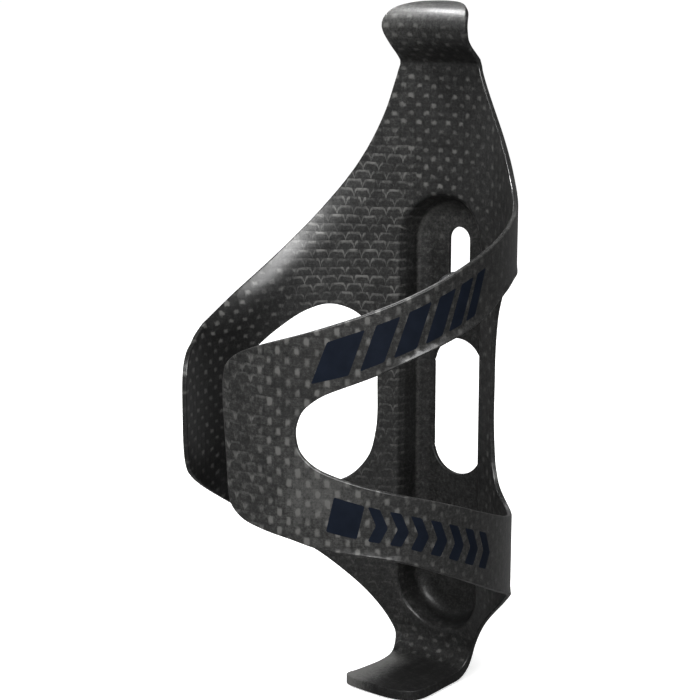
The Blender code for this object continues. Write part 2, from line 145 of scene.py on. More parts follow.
# The tongue from the side, as (distance in front of the wall, height above the crease)
TONGUE_SIDE = ((0.0, 0.0), (0.10, 0.45), (0.40, 0.90), (0.95, 1.35), (2.3, 2.4), (4.1, 3.8), (5.6, 5.4),
               (6.5, 7.3), (6.9, 8.9), (6.7, 10.5), (6.0, 12.0), (4.9, 13.3), (3.4, 14.3), (1.5, 14.9))
# Its edges, as (x, distance along that side curve)
TONGUE_RIGHT = ((10.5, 0.0), (10.6, 2.0), (10.8, 5.0), (11.0, 8.0), (11.4, 11.0), (11.4, 13.2),
                (11.0, 15.3), (9.9, 17.0), (8.0, 18.4), (5.5, 19.3), (1.5, 19.9))
TONGUE_LEFT = ((-3.0, 19.5), (-6.8, 18.2), (-9.6, 16.6), (-11.3, 14.5), (-11.9, 12.5), (-11.8, 10.4),
               (-11.2, 8.0), (-11.1, 5.0), (-11.4, 2.0), (-11.7, 0.0))


# ---------------------------------------------------------------- the sheet's outlines

def catmull(points, spacing, closed=False):
    """A smooth curve through the points, resampled at about this spacing."""
    points = [np.array(p, float) for p in points]
    if closed:
        points = [points[-1]] + points + points[:2]
    else:
        points = [2 * points[0] - points[1]] + points + [2 * points[-1] - points[-2]]
    made = []
    for a, b, c, d in zip(points, points[1:], points[2:], points[3:]):
        steps = [max(np.linalg.norm(q - p), 1e-6) ** 0.5 for p, q in ((a, b), (b, c), (c, d))]
        knots = np.cumsum([0.0] + steps)
        count = max(1, round(float(np.linalg.norm(c - b)) / spacing))
        for t in np.linspace(knots[1], knots[2], count, endpoint=False):
            ab = mix(a, b, knots[0], knots[1], t)
            bc = mix(b, c, knots[1], knots[2], t)
            cd = mix(c, d, knots[2], knots[3], t)
            made.append(mix(mix(ab, bc, knots[0], knots[2], t), mix(bc, cd, knots[1], knots[3], t),
                            knots[1], knots[2], t))
    if not closed:
        made.append(points[-2])
    return np.array(made)


def mix(a, b, start, end, t):
    """The value at t of a straight run from a at the start to b at the end."""
    return a + (b - a) * (t - start) / (end - start)


def unrolled(points):
    """(degrees, height) points as (u, v) points."""
    return [(math.radians(angle) * RADIUS, height) for angle, height in points]


def u_at(x):
    """How far round the wall the point at this x is."""
    return RADIUS * np.arcsin(np.asarray(x, float) / RADIUS)


def wall_depth(x):
    """Distance of the wall's front from the bottle's axis plane, at this x."""
    return np.sqrt(RADIUS ** 2 - np.asarray(x, float) ** 2)


def shelf_point(x, y):
    """The sheet's (u, v) for a point on top of the shelf."""
    reach = wall_depth(x) - y - SHELF_BEND
    return float(u_at(x)), float(SHELF_BEND * (1.0 - math.pi / 2) - reach)


def tongue_point(x, along):
    """The sheet's (u, v) for a point this far along the tongue from its crease."""
    return float(u_at(x)), CREASE + along


def outer_outline():
    """The sheet's outer outline, from the shelf's tip round the loop, the tongue and the wing."""
    path = [shelf_point(*p) for p in SHELF_TIP + SHELF_RIGHT]
    path += unrolled(LOOP_LOW + LOOP_END + LOOP_TOP)
    path += [tongue_point(*p) for p in TONGUE_RIGHT + TONGUE_LEFT]
    path += unrolled(WING_TOP + WING_END + WING_LOW)
    path += [shelf_point(*p) for p in SHELF_LEFT]
    return path


def inset(loop, distance):
    """The closed loop moved to its left by a small distance."""
    ahead = np.roll(loop, -1, 0) - np.roll(loop, 1, 0)
    ahead /= np.linalg.norm(ahead, axis=1)[:, None]
    left = np.stack([-ahead[:, 1], ahead[:, 0]], 1)
    return loop + left * distance


def obround(half_width, heights, spacing):
    """An upright slot with half-round ends, anticlockwise, with its points this far apart."""
    low, high = heights[0] + half_width, heights[1] - half_width
    turns = max(8, round(math.pi * half_width / spacing))
    runs = max(1, round((high - low) / spacing)) if high - low > 0.01 else 0
    points = [(half_width * math.cos(a), high + half_width * math.sin(a))
              for a in np.linspace(0, math.pi, turns, endpoint=runs > 0)]
    points += [(-half_width, high + (low - high) * i / runs) for i in range(1, runs)]
    points += [(half_width * math.cos(a), low + half_width * math.sin(a))
               for a in np.linspace(math.pi, 2 * math.pi, turns, endpoint=runs > 0)]
    points += [(half_width, low + (high - low) * i / runs) for i in range(1, runs)]
    return np.array(points)


def inside(points, loop):
    """Which points are inside the closed loop."""
    x, y = points[:, 0][:, None], points[:, 1][:, None]
    x0, y0 = loop[:, 0][None], loop[:, 1][None]
    x1, y1 = np.roll(loop[:, 0], -1)[None], np.roll(loop[:, 1], -1)[None]
    crosses = (y0 > y) != (y1 > y)
    with np.errstate(divide="ignore", invalid="ignore"):
        at = x0 + (y - y0) * (x1 - x0) / (y1 - y0)
    return (crosses & (x < at)).sum(1) % 2 == 1


def in_sheet(points, outline, holes):
    """Which points are inside the outline and outside every hole."""
    keep = inside(points, outline)
    for hole in holes:
        keep &= ~inside(points, hole)
    return keep


def grid_points(outline, holes, taken, spacing):
    """A triangular grid inside the sheet, clear of the points already taken."""
    low, high = outline.min(0), outline.max(0)
    rows = []
    for i, v in enumerate(np.arange(low[1], high[1], spacing * math.sqrt(3) / 2)):
        us = np.arange(low[0] + (i % 2) * spacing / 2, high[0], spacing)
        rows.append(np.stack([us, np.full(len(us), v)], 1))
    grid = np.concatenate(rows)
    grid = grid[in_sheet(grid, outline, holes)]
    near = np.array([np.min(np.sum((taken - p) ** 2, 1)) for p in grid])
    return grid[near > (CLEAR_OF_EDGE * spacing) ** 2]


def fixed_first(fixed, sources, flat, triangles):
    """The same mesh with its fixed points first and in their own order."""
    order = np.full(fixed, -1)
    for new, olds in enumerate(sources):
        for old in olds:
            if old < fixed:
                order[old] = new
    named = set(order)
    new_order = list(order) + [i for i in range(len(flat)) if i not in named]
    place = np.empty(len(flat), int)
    place[new_order] = np.arange(len(flat))
    return flat[new_order], place[triangles]


def fill(outline, holes, lines, spacing):
    """Triangles of even size inside an outline and outside its holes: (points, triangles).

    The outline's points come first, then each hole's, unchanged and in order.
    """
    points, edges = [], []
    for loop in [outline] + holes:
        first, count = len(points), len(loop)
        points += [tuple(p) for p in loop]
        edges += [(first + i, first + (i + 1) % count) for i in range(count)]
    fixed = len(points)
    for line in lines:
        first = len(points)
        points += [tuple(p) for p in line]
        edges += [(first + i, first + i + 1) for i in range(len(line) - 1)]
    points += [tuple(p) for p in grid_points(outline, holes, np.array(points), spacing)]
    made = delaunay_2d_cdt([Vector(p) for p in points], edges, [], 0, 1e-7, True)
    flat = np.array([tuple(p) for p in made[0]])
    triangles = np.array([tuple(f) for f in made[2]])
    triangles = triangles[in_sheet(flat[triangles].mean(1), outline, holes)]
    flat, triangles = fixed_first(fixed, made[3], flat, triangles)
    a, b, c = (flat[triangles[:, i]] for i in range(3))
    turn = (b - a)[:, 0] * (c - a)[:, 1] - (b - a)[:, 1] * (c - a)[:, 0]
    triangles[turn < 0] = triangles[turn < 0][:, ::-1]
    return flat, triangles[np.abs(turn) > 1e-9]


# ---------------------------------------------------------------- wrapping the sheet round the bottle

def side_curve(points, step=0.02):
    """A curve's samples against the distance along it."""
    curve = catmull(points, step)
    along = np.concatenate([[0.0], np.cumsum(np.linalg.norm(np.diff(curve, axis=0), axis=1))])
    return along, curve


TONGUE_ALONG, TONGUE_CURVE = side_curve(TONGUE_SIDE)

# Edges with a lip that leans outwards: (points, side, width, height, power of its curve), where side is
# 1 for a top edge and -1 for a bottom one
LIPS = (
    (np.array(unrolled(WING_TOP))[::-1], 1, 7.0, 2.1, 2.0),
    (np.array(unrolled(LOOP_WINDOW[22:28]))[::-1], -1, 1.6, 0.62, 1.15),
    (np.array(unrolled(LOOP_LOW[5:11])), -1, 1.5, 0.5, 1.15),
)
LIP_FADE = 8.0              # length over which a lip comes and goes at its ends
LIP_REACH = 1.0             # how far past its edge's curve a lip goes on
LIP_LIMIT = 1.4


def lip(u, v, edge, side, width, height, power):
    """How far the wall leans outwards close to one edge."""
    near = side * (np.interp(u, edge[:, 0], edge[:, 1]) - v)
    slope = np.gradient(edge[:, 1], edge[:, 0])
    near = near * np.cos(np.arctan(np.interp(u, edge[:, 0], slope)))
    start, end = edge[0, 0], edge[-1, 0]
    fade = np.clip((u - start) / LIP_FADE, 0, 1) * np.clip((end - u) / LIP_FADE, 0, 1)
    return height * fade * (near > -LIP_REACH) * np.clip(1.0 - near / width, 0, LIP_LIMIT) ** power


def wrap(flat):
    """Front surface of the sheet's points, in millimetres from the bottle's axis and the shelf."""
    u, v = flat[:, 0], flat[:, 1]
    radius = RADIUS + sum(lip(u, v, *each) for each in LIPS)
    x, y, z = radius * np.sin(u / RADIUS), radius * np.cos(u / RADIUS), v.copy()

    up = v > CREASE
    along = v[up] - CREASE
    beyond = np.maximum(along - TONGUE_ALONG[-1], 0.0)
    forward = np.interp(along, TONGUE_ALONG, TONGUE_CURVE[:, 0]) - TONGUE_END[0] * beyond
    hollow = y[up] - float(wall_depth(TONGUE_HALF_WIDTH))
    y[up] = y[up] - forward - TONGUE_FLATTENING * hollow * np.clip(along / TONGUE_ALONG[-1], 0, 1)
    z[up] = CREASE + np.interp(along, TONGUE_ALONG, TONGUE_CURVE[:, 1]) + TONGUE_END[1] * beyond

    bend = v < SHELF_BEND
    turn = np.clip((SHELF_BEND - v[bend]) / SHELF_BEND, 0, math.pi / 2)
    reach = np.maximum(SHELF_BEND * (1.0 - math.pi / 2) - v[bend], 0.0)
    y[bend] = y[bend] - SHELF_BEND * (1.0 - np.cos(turn)) - reach
    z[bend] = SHELF_BEND * (1.0 - np.sin(turn))
    return np.stack([x, y, z], 1)


def unit(vectors):
    """The vectors at length 1."""
    return vectors / np.maximum(np.linalg.norm(vectors, axis=-1, keepdims=True), 1e-12)


def wrapped_normals(flat, step=0.05):
    """The wrapped sheet's normals, towards the bottle."""
    along_u = wrap(flat + (step, 0.0)) - wrap(flat - (step, 0.0))
    along_v = wrap(flat + (0.0, step)) - wrap(flat - (0.0, step))
    return unit(np.cross(along_u, along_v))


def sheet_thickness(flat):
    """The wall's thickness, which grows to the shelf's over the bend between them."""
    share = np.clip((SHELF_BEND - flat[:, 1]) / (SHELF_BEND * math.pi / 2), 0, 1)
    return WALL + (SHELF_THICKNESS - WALL) * share * share * (3 - 2 * share)


class Sheet:
    """A surface of points and faces that becomes a solid wall: its front, normals and thickness."""

    def __init__(self):
        self.front = np.zeros((0, 3))
        self.normal = np.zeros((0, 3))
        self.thick = np.zeros(0)
        self.weave = np.zeros((0, 2))
        self.out = np.zeros((0, 3))     # across a free edge, away from the sheet
        self.faces = []
        self.part = []

    def add(self, front, normal, thick, weave):
        """Adds points and returns the first one's number."""
        first = len(self.front)
        self.front = np.concatenate([self.front, front])
        self.normal = np.concatenate([self.normal, normal])
        self.thick = np.concatenate([self.thick, thick])
        self.weave = np.concatenate([self.weave, weave])
        self.out = np.concatenate([self.out, np.zeros((len(front), 3))])
        return first

    def add_faces(self, faces, part):
        """Adds faces that all belong to one part, or a part for each."""
        self.faces += [tuple(int(i) for i in f) for f in faces]
        self.part += [part] * len(faces) if isinstance(part, str) else list(part)


def free_directions(sheet):
    """Fills in the outward direction at every free edge's points."""
    edges = {}
    for face in sheet.faces:
        for a, b in zip(face, face[1:] + face[:1]):
            edges[(a, b)] = True
    for a, b in edges:
        if (b, a) not in edges:
            ahead = sheet.front[b] - sheet.front[a]
            for i in (a, b):
                sheet.out[i] += unit(np.cross(ahead, sheet.normal[i]))
    sheet.out = unit(sheet.out)
    return {e for e in edges if (e[1], e[0]) not in edges}


def mesh_normals(points, faces):
    """Smooth normals from the faces round each point."""
    total = np.zeros_like(points)
    for face in faces:
        a, b, c = points[face[0]], points[face[1]], points[face[2]]
        n = np.cross(b - a, c - a)
        if len(face) == 4:
            n = n + np.cross(c - a, points[face[3]] - a)
        for i in face:
            total[i] += n
    return unit(total)


def part_of(angle, height):
    """The name of the skin that a place on the wall belongs to."""
    if height > CREASE:
        return "tongue"
    if angle < WING_SEAM:
        return "wing"
    return "loop" if angle > LOOP_SEAM else "spine"


def fold_lines(outline):
    """Rows of points along the arms' seams, the tongue's crease and the shelf's bend."""
    lines = []
    for seam in (WING_SEAM, LOOP_SEAM):
        u = math.radians(seam) * RADIUS
        lines.append([(u, v) for v in np.arange(-10.0, 160.0, 1.1)])
    for above in (-0.4, 0.0, 0.4, 0.8, 1.2, 1.7):
        lines.append([(u, CREASE + above) for u in np.arange(-14.0, 14.1, 1.0)])
    for v in np.arange(SHELF_BEND * (1 - math.pi / 2), SHELF_BEND + 0.1, 0.9):
        lines.append([(u, v) for u in np.arange(-12.0, 11.1, 1.2)])
    lines = [np.array(line) for line in lines]
    return [line[inside(line, outline)] for line in lines]


def wall_sheet(sheet):
    """Adds the wrapped wall with its windows, tongue and shelf.

    Returns the pan's rim, as (x, height) points, and the number of its first point in the sheet.
    """
    outline = inset(catmull(outer_outline(), OUTLINE_STEP, closed=True), EDGE_RADIUS)
    windows = [catmull(unrolled(points), OUTLINE_STEP, closed=True) for points in (WING_WINDOW, LOOP_WINDOW)]
    windows = [inset(w if signed_area(w) < 0 else w[::-1], EDGE_RADIUS) for w in windows]
    rim = obround(PAN_HALF_WIDTH + PAN_RIM, (PAN_HEIGHTS[0] - PAN_RIM, PAN_HEIGHTS[1] + PAN_RIM), RIM_STEP)
    mouth = np.stack([u_at(rim[:, 0]), rim[:, 1]], 1)
    flat, triangles = fill(outline, windows + [mouth], fold_lines(outline), GRID)
    sheet.add(wrap(flat), wrapped_normals(flat), sheet_thickness(flat), flat)
    middle = flat[triangles].mean(1)
    parts = [part_of(math.degrees(u / RADIUS), v) for u, v in middle]
    sheet.add_faces(triangles, parts)
    first = len(outline) + sum(len(w) for w in windows)
    return rim, first


def signed_area(loop):
    """The loop's area, above 0 where its points go round anticlockwise."""
    x, y = loop[:, 0], loop[:, 1]
    return 0.5 * float(np.sum(x * np.roll(y, -1) - np.roll(x, -1) * y))


def quadratic(a, b, c, t):
    """The point at t on the curve that starts at a towards b and ends at c."""
    return (1 - t) ** 2 * a + 2 * t * (1 - t) * b + t * t * c


def pan_rings(rim):
    """Rings of points from the wall over the pan's rounded mouth, down its wall and round its fillet."""
    ahead = np.roll(rim, -1, 0) - np.roll(rim, 1, 0)
    ahead /= np.linalg.norm(ahead, axis=1)[:, None]
    inwards = np.stack([-ahead[:, 1], ahead[:, 0]], 1)

    def ring(offset, depth=None):
        flat = rim + inwards * (PAN_RIM + offset)
        depth = wall_depth(flat[:, 0]) if depth is None else np.full(len(rim), depth)
        return np.stack([flat[:, 0], depth, flat[:, 1]], 1)

    start, corner = ring(-PAN_RIM), ring(0.0)
    turned_in = corner + (0.0, PAN_RIM, 0.0)
    rings = [quadratic(start, corner, turned_in, t) for t in np.linspace(0, 1, 8)]
    centre = PAN_DRAFT + PAN_FILLET, FLOOR_FRONT - PAN_FILLET
    fillet_start = ring(PAN_DRAFT, centre[1])
    rings += [turned_in + (fillet_start - turned_in) * t for t in (0.33, 0.67)]
    for turn in np.linspace(0, math.pi / 2, 9):
        rings.append(ring(centre[0] - PAN_FILLET * math.cos(turn), centre[1] + PAN_FILLET * math.sin(turn)))
    return rings


def pan_holes():
    """The slot, the tall window and the lower bolt's hole in the pan's floor, clockwise."""
    lower = (LOWER_BOLT_HEIGHT - SLOT_HALF_WIDTH, LOWER_BOLT_HEIGHT + SLOT_HALF_WIDTH)
    holes = [obround(SLOT_HALF_WIDTH, SLOT_HEIGHTS, SMALL_HOLE_STEP),
             obround(PORT_HALF_WIDTH, PORT_HEIGHTS, RIM_STEP),
             obround(SLOT_HALF_WIDTH, lower, SMALL_HOLE_STEP)]
    return [inset(h[::-1], EDGE_RADIUS) for h in holes]


def pan_sheet(sheet, rim, first):
    """Adds the mounting pan, which starts on the wall's points round its mouth."""
    count = len(rim)
    start, *rings = pan_rings(rim)
    flat, triangles = fill(rings[-1][:, [0, 2]], pan_holes(), [], PAN_GRID)
    floor = np.stack([flat[:, 0], np.full(len(flat), FLOOR_FRONT), flat[:, 1]], 1)

    points = np.concatenate([start] + rings[:-1] + [floor])
    faces = []
    for k in range(len(rings)):
        for i in range(count):
            j = (i + 1) % count
            faces.append((k * count + i, k * count + j, (k + 1) * count + j, (k + 1) * count + i))
    faces += [tuple(t + len(rings) * count) for t in triangles]
    normals = mesh_normals(points, faces)
    base = sheet.add(points[count:], normals[count:], np.full(len(points) - count, WALL),
                     np.stack([u_at(points[count:, 0]), points[count:, 2]], 1))
    place = np.concatenate([first + np.arange(count), base + np.arange(len(points) - count)])
    sheet.add_faces([tuple(place[i] for i in f) for f in faces], "spine")


# ---------------------------------------------------------------- from the sheet to solid pieces

EDGE_TURNS = (60, 30, 0)    # degrees round a free edge's rounding, from the front or the back


def to_world(points):
    """Points in millimetres from the bottle's axis and the shelf, in the frame's metres."""
    return (np.asarray(points) + np.array(AXIS)) * MM


def edge_profile(sheet, i):
    """Points and normals round a free edge at one point of the sheet, from its front to its back."""
    front, normal, out, thick = sheet.front[i], sheet.normal[i], sheet.out[i], sheet.thick[i]
    made = []
    for side, turns in ((1, EDGE_TURNS), (-1, EDGE_TURNS[::-1])):
        for turn in turns:
            c, s = math.cos(math.radians(turn)), math.sin(math.radians(turn))
            depth = EDGE_RADIUS * (1 - s) if side == 1 else thick - EDGE_RADIUS * (1 - s)
            made.append((front + out * EDGE_RADIUS * c - normal * depth, normal * side * s + out * c))
    return made


def solid_piece(name, sheet, part, free, material):
    """The part of the sheet with this name as a closed mesh with smooth normals."""
    faces = [f for f, p in zip(sheet.faces, sheet.part) if p == part]
    used = sorted({i for f in faces for i in f})
    place = {i: n for n, i in enumerate(used)}
    count = len(used)
    front = sheet.front[used]
    normal = sheet.normal[used]
    back = front - normal * sheet.thick[used][:, None]
    points = [front, back]
    normals = [normal, -normal]
    weave = [sheet.weave[used], sheet.weave[used]]
    made = [[place[i] for i in f] for f in faces]
    made += [[place[i] + count for i in reversed(f)] for f in faces]

    here = {(a, b) for f in faces for a, b in zip(f, f[1:] + f[:1])}
    border = [e for e in here if (e[1], e[0]) not in here]
    border.sort()
    rounded = sorted({i for e in border if e in free for i in e})
    round_place = {}
    total = 2 * count
    extra, extra_normals, extra_weave = [], [], []
    for i in rounded:
        round_place[i] = total
        for point, direction in edge_profile(sheet, i):
            extra.append(point)
            extra_normals.append(direction)
            extra_weave.append(sheet.weave[i])
            total += 1

    def strip(i):
        if i in round_place:
            edge = range(round_place[i], round_place[i] + 2 * len(EDGE_TURNS))
            return [place[i]] + list(edge) + [place[i] + count]
        return [place[i], place[i] + count]

    for a, b in border:
        if (a, b) in free:
            left, right = strip(a), strip(b)
            for k in range(len(left) - 1):
                made.append([right[k], left[k], left[k + 1], right[k + 1]])
        else:
            made.append([place[b], place[a], place[a] + count, place[b] + count])
    for i in rounded:
        free_at = [e for e in border if e in free and i in e]
        seam_at = [e for e in border if e not in free and i in e]
        if seam_at and free_at:
            ring = strip(i)
            made.append(ring if seam_at[0][0] == i else ring[::-1])
    points = np.concatenate(points + ([np.array(extra)] if extra else []))
    normals = unit(np.concatenate(normals + ([np.array(extra_normals)] if extra else [])))
    weave = np.concatenate(weave + ([np.array(extra_weave)] if extra else []))
    return make_object(name, to_world(points), made, material, normals, weave)


UV_UNIT = 100.0             # millimetres of the sheet for each unit of its texture coordinates


def make_object(name, points, faces, material, normals=None, weave=None):
    """An object from world points, with the sheet's own places as its texture coordinates."""
    mesh = bpy.data.meshes.new(name)
    mesh.from_pydata([tuple(p) for p in points], [], faces)
    mesh.update()
    if weave is not None:
        layer = mesh.uv_layers.new(name="weave")
        corner = np.zeros(len(mesh.loops), int)
        mesh.loops.foreach_get("vertex_index", corner)
        layer.data.foreach_set("uv", (weave[corner] / UV_UNIT).astype(np.float32).ravel())
    mesh.shade_smooth()
    if normals is not None:
        mesh.normals_split_custom_set_from_vertices([tuple(n) for n in normals])
    mesh.materials.append(material)
    item = bpy.data.objects.new(name, mesh)
    bpy.context.scene.collection.objects.link(item)
    return item


# ---------------------------------------------------------------- printed bands

FILM = 0.06                 # thickness of the print on the bands
FILM_SINK = 0.02            # how far its back is sunk in the wall
CORNER = 0.25               # how much of a mark's corner is cut off
UPPER_BAND = (LOOP_WINDOW[21:27], LOOP_TOP[:5])
LOWER_BAND = (LOOP_LOW[6:], LOOP_WINDOW[6:13])


def slanted_bar(start, end, low, high, lean):
    """A bar on a band, as (degrees, share of the band's height) corners; its top leans by some degrees."""
    return [(start, low), (end, low), (end - lean, high), (start - lean, high)]


def chevron(start, width, low, high, point):
    """An arrowhead on a band, in the same places, that points away from the loop's root."""
    middle = (low + high) / 2
    return [(start, low), (start - width, low), (start - width - point, middle), (start - width, high),
            (start, high), (start - point, middle)]


def upper_marks():
    """A row of slanted bars that get narrower towards the loop's root."""
    bars = ((151.0, 139.5), (136.0, 128.5), (125.5, 118.0), (115.0, 109.0), (106.5, 101.5), (99.5, 95.5))
    return [slanted_bar(start, end, 0.18, 0.78, 5.0) for start, end in bars]


def lower_marks():
    """A block and a row of chevrons."""
    marks = [slanted_bar(146.5, 137.0, 0.26, 0.74, 2.5)]
    for i in range(7):
        marks.append(chevron(133.5 - 7.0 * i, 3.8, 0.26, 0.74, 2.6))
    return marks


def on_band(mark, band):
    """The mark's corners as (u, v) on the band between its low and its high edge."""
    low, high = (np.array(sorted(edge)) for edge in band)
    made = []
    for angle, share in mark:
        bottom, top = (np.interp(angle, edge[:, 0], edge[:, 1]) for edge in (low, high))
        made.append((math.radians(angle) * RADIUS, bottom + share * (top - bottom)))
    return made


def split_sides(corners, spacing):
    """A closed polygon with points along its sides and slightly rounded corners."""
    made = []
    for a, b in zip(corners, corners[1:] + corners[:1]):
        a, b = np.array(a), np.array(b)
        length = np.linalg.norm(b - a)
        soft = min(CORNER, length / 4) / length
        count = max(2, round(length / spacing))
        made += [a + (b - a) * t for t in np.linspace(soft, 1 - soft, count)]
    return np.array(made)


def film_piece(name, marks, band, material):
    """The printed marks of one band, as thin raised films on its outside."""
    points, normals, faces = [], [], []
    for mark in marks:
        outline = split_sides(on_band(mark, band), 1.0)
        if signed_area(outline) < 0:
            outline = outline[::-1]
        flat, triangles = fill(outline, [], [], 1.5)
        first, count = len(points), len(flat)
        out = -wrapped_normals(flat)
        wall = wrap(flat) + out * WALL
        for lift in (FILM, -FILM_SINK):
            points += [tuple(p) for p in wall + out * lift]
            normals += [tuple(d) for d in out]
        faces += [[first + i for i in reversed(t)] for t in triangles]
        faces += [[first + count + i for i in t] for t in triangles]
        edge = len(outline)
        for i in range(edge):
            j = (i + 1) % edge
            faces.append([first + i, first + j, first + count + j, first + count + i])
    piece = make_object(name, to_world(points), faces, material, normals)
    return piece


# ---------------------------------------------------------------- bolts and washers

RING_POINTS = 48
HEAD_HEIGHT = 2.7           # of an M5 button head
SOCKET = 1.55               # from the axis to the hexagon's flats
SOCKET_DEPTH = 1.7
THREAD_ROOT = 2.0
THREAD_CREST = 2.42
THREAD_PITCH = 0.8
WASHER_HOLE = 2.7           # radius
WASHER_EDGE = 0.12


def ring(radius, depth, hexagon=False):
    """Points round +Y; a hexagon's radius is to its flats."""
    made = []
    for i in range(RING_POINTS):
        turn = 2 * math.pi * i / RING_POINTS
        reach = radius
        if hexagon:
            reach = radius / math.cos((turn + math.pi / 6) % (math.pi / 3) - math.pi / 6)
        made.append((reach * math.sin(turn), depth, reach * math.cos(turn)))
    return made


def loft(name, rings, centre, material, closed=False, smooth_angle=35.0):
    """A turned piece through rings of points round +Y, in millimetres from its centre."""
    count = len(rings[0])
    points = [p for r in rings for p in r]
    faces = []
    pairs = list(zip(range(len(rings)), range(1, len(rings))))
    if closed:
        pairs.append((len(rings) - 1, 0))
    for a, b in pairs:
        for i in range(count):
            j = (i + 1) % count
            faces.append([a * count + i, b * count + i, b * count + j, a * count + j])
    if not closed:
        faces.append(list(range(count)))
        faces.append(list(reversed(range((len(rings) - 1) * count, len(rings) * count))))
    world_points = np.array(points) * MM + np.array(centre)
    piece = make_object(name, world_points, faces, material)
    piece.data.set_sharp_from_angle(angle=math.radians(smooth_angle))
    return piece


def thread_rings(start, end):
    """Rings of a screw thread: the radius rises and falls once per pitch and once per turn."""
    rings = []
    for depth in np.arange(start, end, THREAD_PITCH / 8):
        fade = max(min(1.0, (depth - start) / THREAD_PITCH, (end - depth) / THREAD_PITCH), 0.0)
        made = []
        for i in range(RING_POINTS):
            phase = (depth / THREAD_PITCH - i / RING_POINTS) % 1.0
            rise = (1.0 - abs(2.0 * phase - 1.0)) ** 0.8 * fade
            reach = THREAD_ROOT + (THREAD_CREST - THREAD_ROOT) * rise
            turn = 2 * math.pi * i / RING_POINTS
            made.append((reach * math.sin(turn), depth, reach * math.cos(turn)))
        rings.append(made)
    return rings


def button_head(radius):
    """Rings from the bottom of the hexagon socket over the domed head to the shank."""
    rings = [ring(0.3, SOCKET_DEPTH + 0.05), ring(SOCKET, SOCKET_DEPTH, hexagon=True),
             ring(SOCKET, 0.35, hexagon=True), ring(1.7, 0.12), ring(1.95, 0.02), ring(2.3, 0.0)]
    for turn in (40, 52, 62, 72, 80, 86):
        a = math.radians(turn)
        rings.append(ring(radius * math.sin(a), HEAD_HEIGHT * 0.62 * (1.0 - math.cos(a)) / 0.93))
    rings += [ring(radius, HEAD_HEIGHT * 0.72), ring(radius, HEAD_HEIGHT - 0.2)]
    rings += [ring(radius - 0.2, HEAD_HEIGHT), ring(2.55, HEAD_HEIGHT), ring(2.35, HEAD_HEIGHT + 0.25)]
    return rings


def box_of_turned(node):
    """Centre of a turned CAD node's end towards the bottle, its radius and its length in millimetres."""
    low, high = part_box(node)
    centre = ((low.x + high.x) / 2, low.y, (low.z + high.z) / 2)
    return centre, (high.x - low.x) / 2 / MM, (high.y - low.y) / MM


def bolt_piece(name, node, steel):
    """A button-head bolt with a hexagon socket and a rolled thread, where the CAD bolt is."""
    centre, head, length = box_of_turned(node)
    rings = button_head(head) + thread_rings(HEAD_HEIGHT + 0.6, length - 0.5)
    rings += [ring(THREAD_ROOT, length - 0.45), ring(THREAD_ROOT - 0.4, length)]
    piece = loft(name, rings, centre, steel)
    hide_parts(node)
    return piece


def washer_piece(name, node, steel):
    """A flat washer with broken edges, where the CAD washer is."""
    centre, outer, thick = box_of_turned(node)
    hole, edge = WASHER_HOLE, WASHER_EDGE
    rings = [ring(hole, edge), ring(hole + edge, 0.0), ring(outer - edge, 0.0), ring(outer, edge),
             ring(outer, thick - edge), ring(outer - edge, thick), ring(hole + edge, thick),
             ring(hole, thick - edge)]
    piece = loft(name, rings, centre, steel, closed=True, smooth_angle=30.0)
    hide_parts(node)
    return piece


# ---------------------------------------------------------------- materials

TABLE_SPAN = 200.0           # millimetres of the sheet that a table of stops covers
LEFT_OF_SPINE = 80.0         # and how much of it lies left of the spine, or below the shelf's top
BELOW_SHELF = 20.0
SWAY = 0.6                   # how far the tows wander, in tows
FIBRES_ACROSS = 12.0         # streaks of fibre noise across one tow, and along it
FIBRES_ALONG = 0.7


